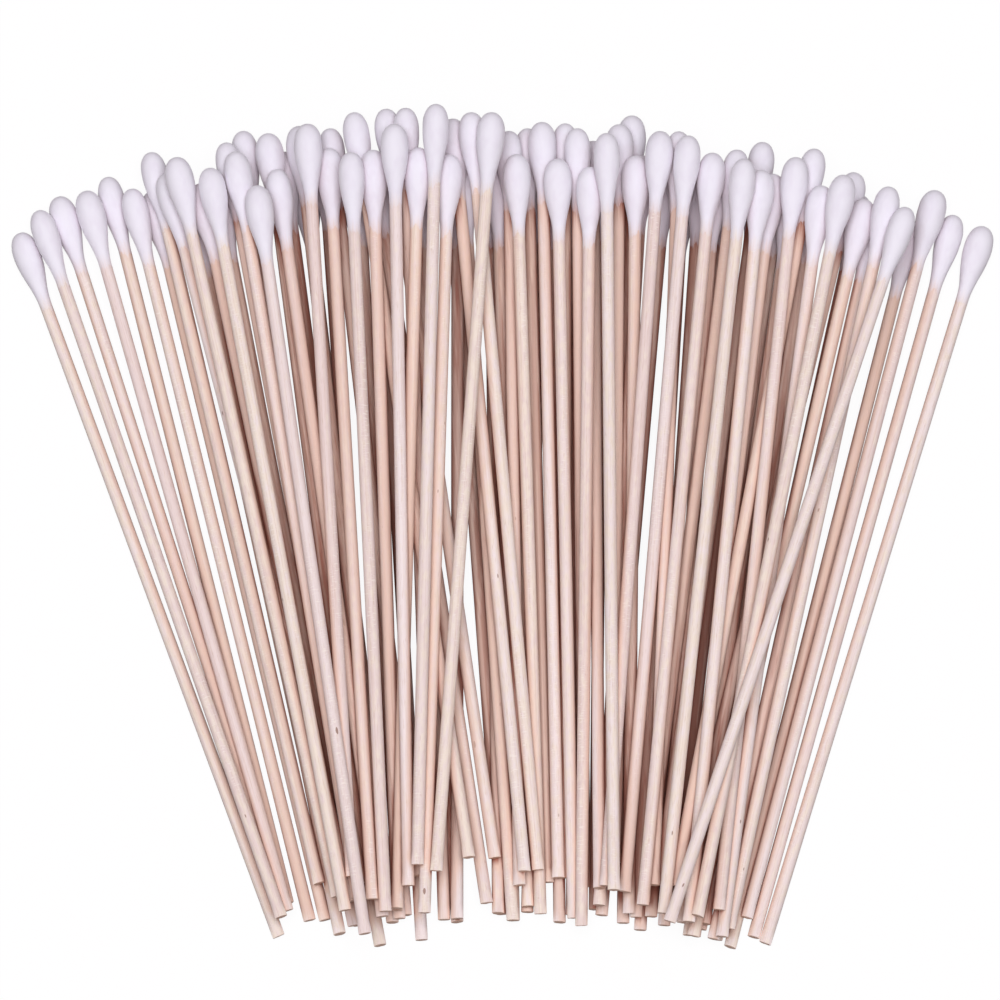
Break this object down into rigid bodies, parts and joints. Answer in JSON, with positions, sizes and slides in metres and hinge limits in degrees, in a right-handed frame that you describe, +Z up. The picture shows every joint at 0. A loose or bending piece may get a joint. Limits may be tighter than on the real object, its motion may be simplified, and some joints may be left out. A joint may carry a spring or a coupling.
{
  "type": "fanned bundle of long cotton swabs",
  "caption": "Loose fanned bundle of long single-ended cotton swabs lying flat: round wooden sticks with a drop-shaped cotton bud at one end and a plain cut end at the other.",
  "frame": {"origin": "on the table under the middle of the heap's bounding box", "axes": "+Z up from the table; +Y towards the cotton buds; -Y towards the cut ends; X across the fan"},
  "size_m": [0.1972, 0.1688, 0.0303],
  "materials": {
    "birch_stick": "bare sanded birch with fine lengthwise grain",
    "cotton_bud": "wound absorbent cotton, soft and matt"
  },
  "bodies": {
    "root": {"crossing_middle_buds": "cotton_bud", "crossing_middle_sticks": "birch_stick", "fourth_far_left_buds": "cotton_bud", "fourth_far_left_sticks": "birch_stick", "fourth_far_right_buds": "cotton_bud", "fourth_far_right_sticks": "birch_stick", "fourth_left_buds": "cotton_bud", "fourth_left_sticks": "birch_stick", "fourth_middle_buds": "cotton_bud", "fourth_middle_sticks": "birch_stick", "fourth_right_buds": "cotton_bud", "fourth_right_sticks": "birch_stick", "second_far_left_buds": "cotton_bud", "second_far_left_sticks": "birch_stick", "second_far_right_buds": "cotton_bud", "second_far_right_sticks": "birch_stick", "second_left_buds": "cotton_bud", "second_left_sticks": "birch_stick", "second_middle_buds": "cotton_bud", "second_middle_sticks": "birch_stick", "second_right_buds": "cotton_bud", "second_right_sticks": "birch_stick", "table_far_left_buds": "cotton_bud", "table_far_left_sticks": "birch_stick", "table_far_right_buds": "cotton_bud", "table_far_right_sticks": "birch_stick", "table_left_buds": "cotton_bud", "table_left_sticks": "birch_stick", "table_middle_buds": "cotton_bud", "table_middle_sticks": "birch_stick", "table_right_buds": "cotton_bud", "table_right_sticks": "birch_stick", "third_far_left_buds": "cotton_bud", "third_far_left_sticks": "birch_stick", "third_far_right_buds": "cotton_bud", "third_far_right_sticks": "birch_stick", "third_left_buds": "cotton_bud", "third_left_sticks": "birch_stick", "third_middle_buds": "cotton_bud", "third_middle_sticks": "birch_stick", "third_right_buds": "cotton_bud", "third_right_sticks": "birch_stick", "top_far_left_buds": "cotton_bud", "top_far_left_sticks": "birch_stick", "top_far_right_buds": "cotton_bud", "top_far_right_sticks": "birch_stick", "top_left_buds": "cotton_bud", "top_left_sticks": "birch_stick", "top_middle_buds": "cotton_bud", "top_middle_sticks": "birch_stick", "top_right_buds": "cotton_bud", "top_right_sticks": "birch_stick"}
  },
  "joints": []
}
